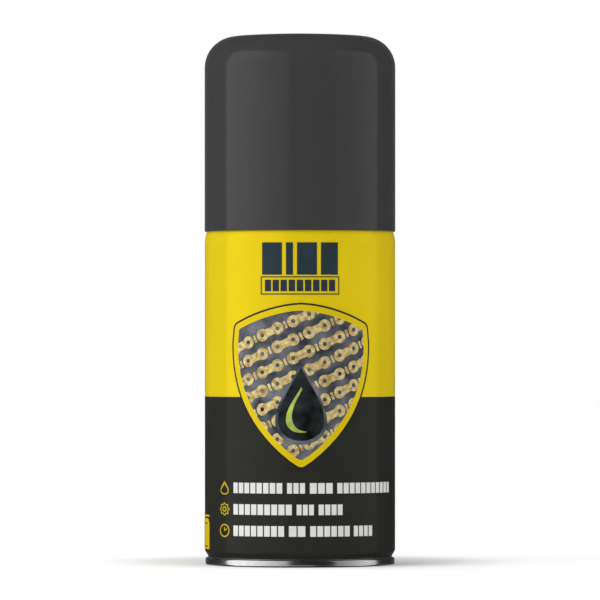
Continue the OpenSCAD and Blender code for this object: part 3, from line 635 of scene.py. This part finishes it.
# %% [markdown]
# The overcap is injection moulded from dark grey polypropylene in a polished mould, so it has a
# soft gloss: smooth enough to show the edges of the lights, with a trace of flow in it and of
# haze where it is seen at a low angle. The housing, stem and button are the same plastic without
# dye, pale and softer in gloss. The insert is acetal, even and fairly glossy, and the dip tube is
# extruded polyethylene, waxy and dull. One function makes them all, because the mould or the die
# leaves the same kinds of trace on each.


# %% Moulded plastics
def moulded_plastic(name, dark, light, roughness, patch_mm=14.0, shine=0.5, haze=0.0):
    """Moulded plastic: two close shades that flow into each other, and the mould's fine texture.

    A mould's texture is finer than a pixel, so it is drawn as a very low bump, 3 mm wide.
    """
    texture_mm = 3.0
    material, tree = new_material(name)
    place = add(tree, "TexCoord").outputs["Object"]
    flow = add(tree, "TexNoise", {"Vector": place, "Scale": per(patch_mm), "Detail": 2.0,
                                  "Distortion": 0.6})
    tone = add(tree, "ValToRGB", {"Fac": flow.outputs["Fac"]},
               stops=((DARK_AT, dark), (LIGHT_AT, light)))
    skin = add(tree, "TexNoise", {"Vector": place, "Scale": per(texture_mm), "Detail": 3.0,
                                  "Roughness": 0.6})
    bump = add(tree, "Bump", {"Height": skin.outputs["Fac"], "Strength": 0.06,
                              "Distance": 0.04 * MM})
    gloss = add(tree, "MapRange", {"Value": skin.outputs["Fac"], "To Min": roughness - 0.02,
                                   "To Max": roughness + 0.03})
    surface = add(tree, "BsdfPrincipled", {
        "Base Color": tone.outputs["Color"],
        "Roughness": gloss.outputs["Result"],
        "IOR": 1.49,
        "Specular IOR Level": shine,
        "Sheen Weight": haze,
        "Sheen Roughness": 0.3,
        "Normal": bump.outputs["Normal"]})
    add(tree, "OutputMaterial", {"Surface": surface.outputs["BSDF"]})
    return material


cap_plastic = moulded_plastic("moulded_polypropylene", "#3c3c3c", "#3e3e3e", 0.13, shine=0.28,
                              haze=0.06)
natural_plastic = moulded_plastic("natural_polypropylene", "#dedbcf", "#e9e6dc", 0.34)
insert_plastic = moulded_plastic("acetal_insert", "#b93a25", "#c8402a", 0.3, patch_mm=2.0)
tube_plastic = moulded_plastic("extruded_polyethylene", "#d6dad7", "#e2e6e3", 0.4, patch_mm=8.0)
print("plastics ready, the cap's is", cap_plastic.name)

# %% [markdown]
# Round its outside the cap runs from the crowned top over a large radius down the wall to a fine
# land at the rim. Inside, the roof and the wall follow it at their own thickness. A cylinder with
# a bevel would come close, but its flat top would show: the real roof is a wide arc that meets
# the corner's arc without a break.

# %% The overcap's wall
cap_wall, roof_t, cap_corner, cap_crown = 0.95, 1.1, 8.5, 250.0
rim_edge, rim_land, lead_h = 0.15, 0.42, 2.6
cap_inner_r = cap_r - cap_wall


def cap_line(radius, top, corner, crown):
    """The cap's profile: an arc of the crown, then the corner's arc where the two circles touch.

    They touch at the tilt whose sine is the corner's distance from the axis over the difference
    of the two radii.
    """
    reach = radius - corner
    tilt = math.degrees(math.asin(reach / (crown - corner)))
    middle = top - crown + (crown - corner) * math.cos(math.radians(tilt))
    over = arc((0, top - crown), crown, 90, 90 - tilt, steps=16)
    over[0, 0] = 0
    return line(over, arc((reach, middle), corner, 90 - tilt, 0, steps=28))


cap_section = np.vstack([
    cap_line(cap_r, cap_top, cap_corner, cap_crown),
    arc((cap_r - rim_edge, rim_z + rim_edge), rim_edge, 0, -90, steps=4),
    [[cap_r - rim_land, rim_z], [cap_inner_r, rim_z + lead_h]],
    cap_line(cap_inner_r, cap_top - roof_t, cap_corner - cap_wall, cap_crown - roof_t)[::-1]])
print("the cap's section has", len(cap_section), "points")

# %% [markdown]
# Inside the cap are eight ribs that stop it on the seam and four lugs that snap under it. In the
# mould they are slots and pockets, so they are one piece with the wall. A boolean could join
# them, but it leaves ragged faces, so each is a closed form sunk into the wall by a third of its
# thickness: a flat plate for a rib, and a short turned stretch for a lug.

# %% Ribs, lugs and the whole overcap
rib_t, rib_depth, rib_h, rib_slope, rib_play, rib_count = 1.0, 1.5, 26.0, 4, 0.12, 8
lug_play, lug_h, lug_arc, lug_first, lug_columns, lug_count = 0.1, 1.2, 24.0, 45, 17, 4
lug_gap, lug_lead_in, lug_lead_out = 0.25, 0.4, 0.3
bond = cap_wall / 3


def upright(profile, thickness, angle):
    """A flat plate on a radius: its profile of four corners is carried across its thickness."""
    half = np.repeat([-thickness / 2, thickness / 2], len(profile))
    r, z = np.tile(profile[:, 0], 2), np.tile(profile[:, 1], 2)
    c, s = math.cos(angle), math.sin(angle)
    points = np.column_stack([r * c - half * s, r * s + half * c, z])
    count = len(profile)
    i = np.arange(count)
    walls = np.column_stack([i, (i + 1) % count, (i + 1) % count + count, i + count])
    sides = np.vstack([[3, 2, 1, 0], [4, 5, 6, 7]])
    return points, np.vstack([walls, sides])


rib_low = seam_top + rib_play
rib = np.array([
    [cap_inner_r + bond, rib_low],
    [cap_inner_r - rib_depth, rib_low],
    [cap_inner_r - rib_depth, rib_low + rib_h - rib_slope],
    [cap_inner_r + bond, rib_low + rib_h]])
lug_top = seam_top - top_seam_h - lug_gap
lug = np.array([
    [cap_inner_r + bond, lug_top],
    [cap_inner_r + bond, lug_top - lug_h],
    [top_seam_r + lug_play, lug_top - lug_h + lug_lead_in],
    [top_seam_r + lug_play, lug_top - lug_lead_out]])
cap_parts = [turned(cap_section)]
cap_parts += [upright(rib, rib_t, (i + 0.5) * 2 * np.pi / rib_count) for i in range(rib_count)]
for i in range(lug_count):
    middle, half = math.radians(i * 360 / lug_count + lug_first), math.radians(lug_arc / 2)
    lug_turn = np.linspace(middle - half, middle + half, lug_columns)
    cap_parts.append(turned(lug, lug_turn, closed=False))
make_piece("moulded_overcap", cap_parts, cap_plastic, "cap", "overcap")

# %% [markdown]
# The small print keeps the shape that the CAD gave it and only gets its inks. An opaque ink, such
# as the white, hides the steel, so it is less metallic. The badge's inks drift further in shade
# and over a short distance, as a picture printed in dots does. A texture for each could do more,
# but plain inks are what a press has.

# %% Inks of the print
INKS = {
    "title_blocks": lithographed_tinplate("slate_ink", "#2c3940", "#333f48"),
    "feature_bars": lithographed_tinplate("white_ink", "#e2e2e0", "#ebebe9", metal=0.05),
    "feature_icons": lithographed_tinplate("yellow_line_ink", "#c8b21a", "#d2bc1e"),
    "side_panel": lithographed_tinplate("yellow_panel_ink", "#dfc416", "#e8cd1a"),
    "badge_outline": lithographed_tinplate("charcoal_line_ink", "#2b2b28", "#30302d"),
    "badge_band": lithographed_tinplate("yellow_band_ink", "#e2c716", "#e9ce1a"),
    "badge_ground": lithographed_tinplate("grey_picture_ink", "#2c3138", "#7b7f86", patch_mm=5.0),
    "badge_chain": lithographed_tinplate("gold_picture_ink", "#a78849", "#efdca0", patch_mm=1.1),
    "badge_drop": lithographed_tinplate("dark_picture_ink", "#131513", "#34383c", patch_mm=4.0),
    "badge_gleam": lithographed_tinplate("lime_picture_ink", "#8f9c50", "#c9dd66", patch_mm=3.0),
}
print(len(INKS), "inks mixed")

# %% [markdown]
# The rubber gaskets and the parts of natural plastic sit inside the valve or on it. Most are
# hidden in every pose, but a part that is opened or cut in another scene shows them, so they keep
# their CAD shape and get a true finish as well. The rubber is nitrile, pressed and vulcanised,
# which leaves it matt and nearly black.


# %% Rubber and inner finishes
def vulcanised_rubber(name):
    """Black nitrile rubber: matt, with a bloom of grey. The real bloom is finer than the 0.6 mm."""
    bloom_mm = 0.6
    material, tree = new_material(name)
    place = add(tree, "TexCoord").outputs["Object"]
    bloom = add(tree, "TexNoise", {"Vector": place, "Scale": per(bloom_mm), "Detail": 3.0})
    tone = add(tree, "ValToRGB", {"Fac": bloom.outputs["Fac"]},
               stops=((DARK_AT, "#181818"), (LIGHT_AT, "#242424")))
    bump = add(tree, "Bump", {"Height": bloom.outputs["Fac"], "Strength": 0.2,
                              "Distance": 0.03 * MM})
    surface = add(tree, "BsdfPrincipled", {
        "Base Color": tone.outputs["Color"],
        "Roughness": 0.62,
        "Normal": bump.outputs["Normal"]})
    add(tree, "OutputMaterial", {"Surface": surface.outputs["BSDF"]})
    return material


rubber = vulcanised_rubber("nitrile_rubber")
INNER = {
    "cup_gasket": rubber,
    "stem_gasket": rubber,
    "valve_housing": natural_plastic,
    "valve_stem": natural_plastic,
    "spray_button": natural_plastic,
    "spray_insert": insert_plastic,
    "dip_tube": tube_plastic,
}
for node, material in (INKS | INNER).items():
    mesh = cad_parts[node].data
    mesh.materials.clear()
    mesh.materials.append(material)
print(len(INKS), "inks and", len(INNER), "inner finishes on CAD nodes")

# %% [markdown]
# The spring is a round wire wound on a helix. A Screw modifier or a curve with a bevel could make it.
# Here it is the wire's circle turned round Z, as any other section, with a height that grows evenly
# with the angle. In the valve it shortens as the stem goes down. Drawn wire is steel too, but greyer
# than tin.

# %% Valve spring
wire_r, wire_sides, spring_turns, spring_columns = 0.2, 14, 5.5, 265
spring_r, spring_low, spring_high = extent("valve_spring")
spring_h = spring_high - spring_low
turns = np.linspace(0, 2 * np.pi * spring_turns, spring_columns)
wire = arc((spring_r - wire_r, spring_low + wire_r), wire_r, 0, 360, wire_sides)[:-1]
spring_points, spring_faces = turned(wire, turns, closed=False)
rise = (spring_h - 2 * wire_r) * turns / turns[-1]
spring_points[:, 2] += np.repeat(rise, len(wire))
spring_steel = bright_tinplate("drawn_spring_steel", "#8d9194", "#b3b7ba", roughness=0.24)
spring = make_piece("coil_spring", [(spring_points, spring_faces)], spring_steel, "can",
                    "valve_spring")
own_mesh(spring)

# %% [markdown]
# The photograph was taken from far off with a long lens, a little above the middle of the label.
# The distance and the width of the view were measured from the curve of the can's edges: the
# nearer the camera, the more they bow. Matching the lens by eye would take longer, because the
# distance and the lens change the picture almost alike.

# %% Camera
camera_distance, camera_height, camera_aim = 1.690, 0.0607, 0.0722
photo_px, px_per_mm = 600, 3.66


def look_at(thing, height):
    """Turns a camera or a lamp so that its -Z points at a height on the can's axis."""
    sight = Vector((0, 0, height)) - thing.location
    thing.rotation_euler = sight.to_track_quat("-Z", "Y").to_euler()


frame_width = photo_px / px_per_mm * MM
camera_data = bpy.data.cameras.new("camera")
camera_data.sensor_width = 36
camera_data.lens = camera_data.sensor_width * camera_distance / frame_width
camera = new_object("camera", camera_data)
camera.location = (0, -camera_distance, camera_height)
look_at(camera, camera_aim)
bpy.context.scene.camera = camera
print("lens", round(camera_data.lens, 1), "mm")

# %% [markdown]
# The floor is plain and white. To the camera it glows a little by itself, so that it meets the white
# background without a seam. Round the can's foot the glow is left out. It fades in from 30 to 65 mm
# off a point 23 mm behind the axis, which makes a painted shade that deepens the real shadow round
# the can's foot.
# Mirror-like surfaces don't see it, as in a studio where the can stands on a small glass plate.
# More light could whiten it too, but that light would fall on the can as well.

# %% Floor
floor_half = 4.0
painted_shade_middle, painted_shade_full_within, painted_shade_gone_at, glow_strength = (0, 0.023, 0), 0.03, 0.065, 0.26
floor_mesh = bpy.data.meshes.new("floor")
corners = [(x * floor_half, y * floor_half, 0) for x, y in ((-1, -1), (1, -1), (1, 1), (-1, 1))]
floor_mesh.from_pydata(corners, [], [(0, 1, 2, 3)])
floor = new_object("floor", floor_mesh)
floor.visible_glossy = False
material, tree = new_material("white_floor")
rays = add(tree, "LightPath")
paint = add(tree, "BsdfDiffuse", {"Color": linear("#f1f1f1")})
place = add(tree, "TexCoord").outputs["Object"]
# Near the can's foot the glow is left out, so the floor is darker there: painted shade added to the
# real shadow.
distance = add(tree, "VectorMath", {0: place, 1: painted_shade_middle}, operation="DISTANCE")
glow_less_painted_shade = add(tree, "MapRange", {"Value": distance.outputs["Value"], "From Min": painted_shade_full_within,
                               "From Max": painted_shade_gone_at, "To Min": 0.0, "To Max": glow_strength},
            interpolation_type="SMOOTHSTEP")
glow = add(tree, "Emission", {"Color": WHITE, "Strength": glow_less_painted_shade.outputs["Result"]})
lit = add(tree, "AddShader", {0: paint.outputs["BSDF"], 1: glow.outputs["Emission"]})
seen = add(tree, "MixShader", {0: rays.outputs["Is Camera Ray"], 1: paint.outputs["BSDF"],
                               2: lit.outputs["Shader"]})
add(tree, "OutputMaterial", {"Surface": seen.outputs["Shader"]})
floor_mesh.materials.append(material)
print("floor", 2 * floor_half, "m wide, with its full glow from", painted_shade_gone_at, "m round the can")

# %% [markdown]
# The room is a world shader: a brightness for each direction. A picture of a real studio could
# light the can too, but its lights stay where they were, and here each one is placed. The first
# part is the soft light that matt surfaces get. It is strongest from the front left. More comes
# from two patches near the horizon, behind the can to its left and right, which light its rims.

# %% The room's light for matt surfaces
world = bpy.data.worlds.new("studio")
bpy.context.scene.world = world
world.use_nodes = True
tree = world.node_tree
tree.nodes.clear()
front_left, front_weakest, front_strongest = (-0.75, -0.66, 0.0), 0.35, 1.19
rim_light, straight_behind = 3.5, 0.2
direction = add(tree, "TexCoord").outputs["Generated"]
toward = add(tree, "SeparateXYZ", {"Vector": direction})
lean = add(tree, "VectorMath", {0: direction, 1: front_left}, operation="DOT_PRODUCT")
front = add(tree, "MapRange", {"Value": lean.outputs["Value"], "From Min": -1.0, "From Max": 1.0,
                               "To Min": front_weakest, "To Max": front_strongest})
rear = add(tree, "MapRange", {"Value": toward.outputs["Y"], "From Min": 0.15, "From Max": 0.5,
                              "To Min": 0.0, "To Max": rim_light})
sides = add(tree, "MapRange", {"Value": toward.outputs["Y"], "From Min": 0.6, "From Max": 0.85,
                               "To Min": 1.0, "To Max": straight_behind})
steep = add(tree, "Math", {0: toward.outputs["Z"]}, operation="ABSOLUTE")
low = add(tree, "MapRange", {"Value": steep.outputs[0], "From Min": 0.2, "From Max": 0.45,
                             "To Min": 1.0, "To Max": 0.0})
patches = add(tree, "Math", {0: sides.outputs["Result"], 1: low.outputs["Result"]},
              operation="MULTIPLY")
rims = add(tree, "Math", {0: rear.outputs["Result"], 1: patches.outputs[0]},
           operation="MULTIPLY")
soft = add(tree, "Math", {0: front.outputs["Result"], 1: rims.outputs[0]}, operation="ADD")
print("soft light from", front_weakest, "to", front_strongest)

# %% [markdown]
# The second part is what reflections see: a dark studio, so that the gloss shows the softboxes
# alone. A trace of light stands straight behind, for the outermost rims. The floor is hidden from
# reflections, so a soft light from below stands in for it. It fades straight below and to the
# sides, and from the front it shows in the base seam and the lower neck, not in the walls. The
# camera sees white. One brightness for all rays would be simpler, but then a white background
# would wash out every reflection.

# %% The room for reflections and the camera
rim_dark, rim_trace = 0.004, 0.05
below_light, straight_below, beside_it = 0.5, 0.05, 0.15
behind = add(tree, "MapRange", {"Value": toward.outputs["Y"], "From Min": 0.8, "From Max": 0.97,
                                "To Min": rim_dark, "To Max": rim_trace},
             interpolation_type="SMOOTHSTEP")
below = add(tree, "MapRange", {"Value": toward.outputs["Z"], "From Min": -0.12,
                               "From Max": -0.35, "To Min": 0.0, "To Max": below_light},
            interpolation_type="SMOOTHSTEP")
deep = add(tree, "MapRange", {"Value": toward.outputs["Z"], "From Min": -0.4, "From Max": -0.55,
                              "To Min": 1.0, "To Max": straight_below},
           interpolation_type="SMOOTHSTEP")
apart = add(tree, "Math", {0: toward.outputs["X"]}, operation="ABSOLUTE")
narrow = add(tree, "MapRange", {"Value": apart.outputs[0], "From Min": 0.2, "From Max": 0.36,
                                "To Min": 1.0, "To Max": beside_it},
             interpolation_type="SMOOTHSTEP")
step = add(tree, "Math", {0: below.outputs["Result"], 1: deep.outputs["Result"]},
           operation="MULTIPLY")
sill = add(tree, "Math", {0: step.outputs[0], 1: narrow.outputs["Result"]},
           operation="MULTIPLY")
shiny = add(tree, "Math", {0: behind.outputs["Result"], 1: sill.outputs[0]}, operation="ADD")
rays = add(tree, "LightPath")
# Sockets 2 and 3 of a Mix node are its two numbers.
even = add(tree, "Mix", {"Factor": rays.outputs["Is Glossy Ray"], 2: soft.outputs[0],
                         3: shiny.outputs[0]})
level = add(tree, "Mix", {"Factor": rays.outputs["Is Camera Ray"], 2: even.outputs[0], 3: 1.0})
backdrop = add(tree, "Background", {"Color": WHITE, "Strength": level.outputs[0]})
add(tree, "OutputWorld", {"Surface": backdrop.outputs["Background"]})
print("reflections see", rim_dark, "in the dark and up to", below_light, "from below")

# %% [markdown]
# Two tall softboxes stand at the sides and show in the gloss. The left one is wide and fades
# towards the camera, the right one is narrower and weaker. Area lamps are the usual way, but
# their brightness is even. Each of these is a curved sheet whose brightness is an attribute that
# changes round it, and only reflections see it.


# %% Softboxes
def softbox(name, start, end, glow, radius=0.75, low=-0.7, high=0.93, bow=0.28, bow_at=50):
    """A glowing sheet round the can, from a start to an end in degrees from the camera's side.

    A point at angle a and height z is at r sin a, -r cos a, z. The top edge is at high less the
    bow times a square, that of the angle's distance from bow_at as a share of bow_at.
    """
    columns, rows = 49, 9
    a = np.linspace(start, end, columns)
    top = high - bow * ((np.abs(a) - bow_at) / bow_at) ** 2
    angle = np.radians(a)[:, None] + np.zeros(rows)
    z = low + (top[:, None] - low) * np.linspace(0, 1, rows)
    points = np.stack([radius * np.sin(angle), -radius * np.cos(angle), z], -1).reshape(-1, 3)
    mesh = bpy.data.meshes.new(name)
    mesh.from_pydata(points.tolist(), [], grid_faces(columns, rows, False, False).tolist())
    shine = np.repeat(np.interp(a, np.linspace(start, end, len(glow)), glow), rows)
    values = mesh.attributes.new("shine", "FLOAT", "POINT").data
    values.foreach_set("value", shine.astype(np.float32))
    material, tree = new_material(name)
    strength = add(tree, "Attribute", attribute_name="shine").outputs["Fac"]
    light = add(tree, "Emission", {"Color": WHITE, "Strength": strength})
    add(tree, "OutputMaterial", {"Surface": light.outputs["Emission"]})
    mesh.materials.append(material)
    box = new_object(name, mesh)
    box.visible_camera = False
    box.visible_diffuse = False
    box.visible_shadow = False
    print(f"{name}: from {start} to {end} degrees, brightness up to {max(glow)}")


softbox("left_softbox", -99, -13.5, (1.0, 1.05, 1.0, 0.8, 0.57, 0.38))
softbox("right_softbox", 43, 105.5, (0.26, 0.32, 0.52, 0.64, 0.58))

# %% [markdown]
# One large lamp adds some light from the front left, with a soft shadow that the world's even
# light doesn't give. A sun could do it too, with a harder shadow. Reflections don't see the lamp:
# the left softbox stands for it there.

# %% Key lamp
key_aim = 0.07
key_data = bpy.data.lights.new("key", "AREA")
key_data.size = 1.2
key_data.energy = 7.2
key = new_object("key", key_data)
key.location = (-1.2, -0.97, 1.6)
look_at(key, key_aim)
key.visible_glossy = False
print("key lamp", round(key_data.energy, 1), "W,", round(key_data.size, 1), "m wide")

# %% [markdown]
# The colours should come out as they are written, so the view transform is Standard.

# %% Finish
bpy.context.scene.view_settings.view_transform = "Standard"
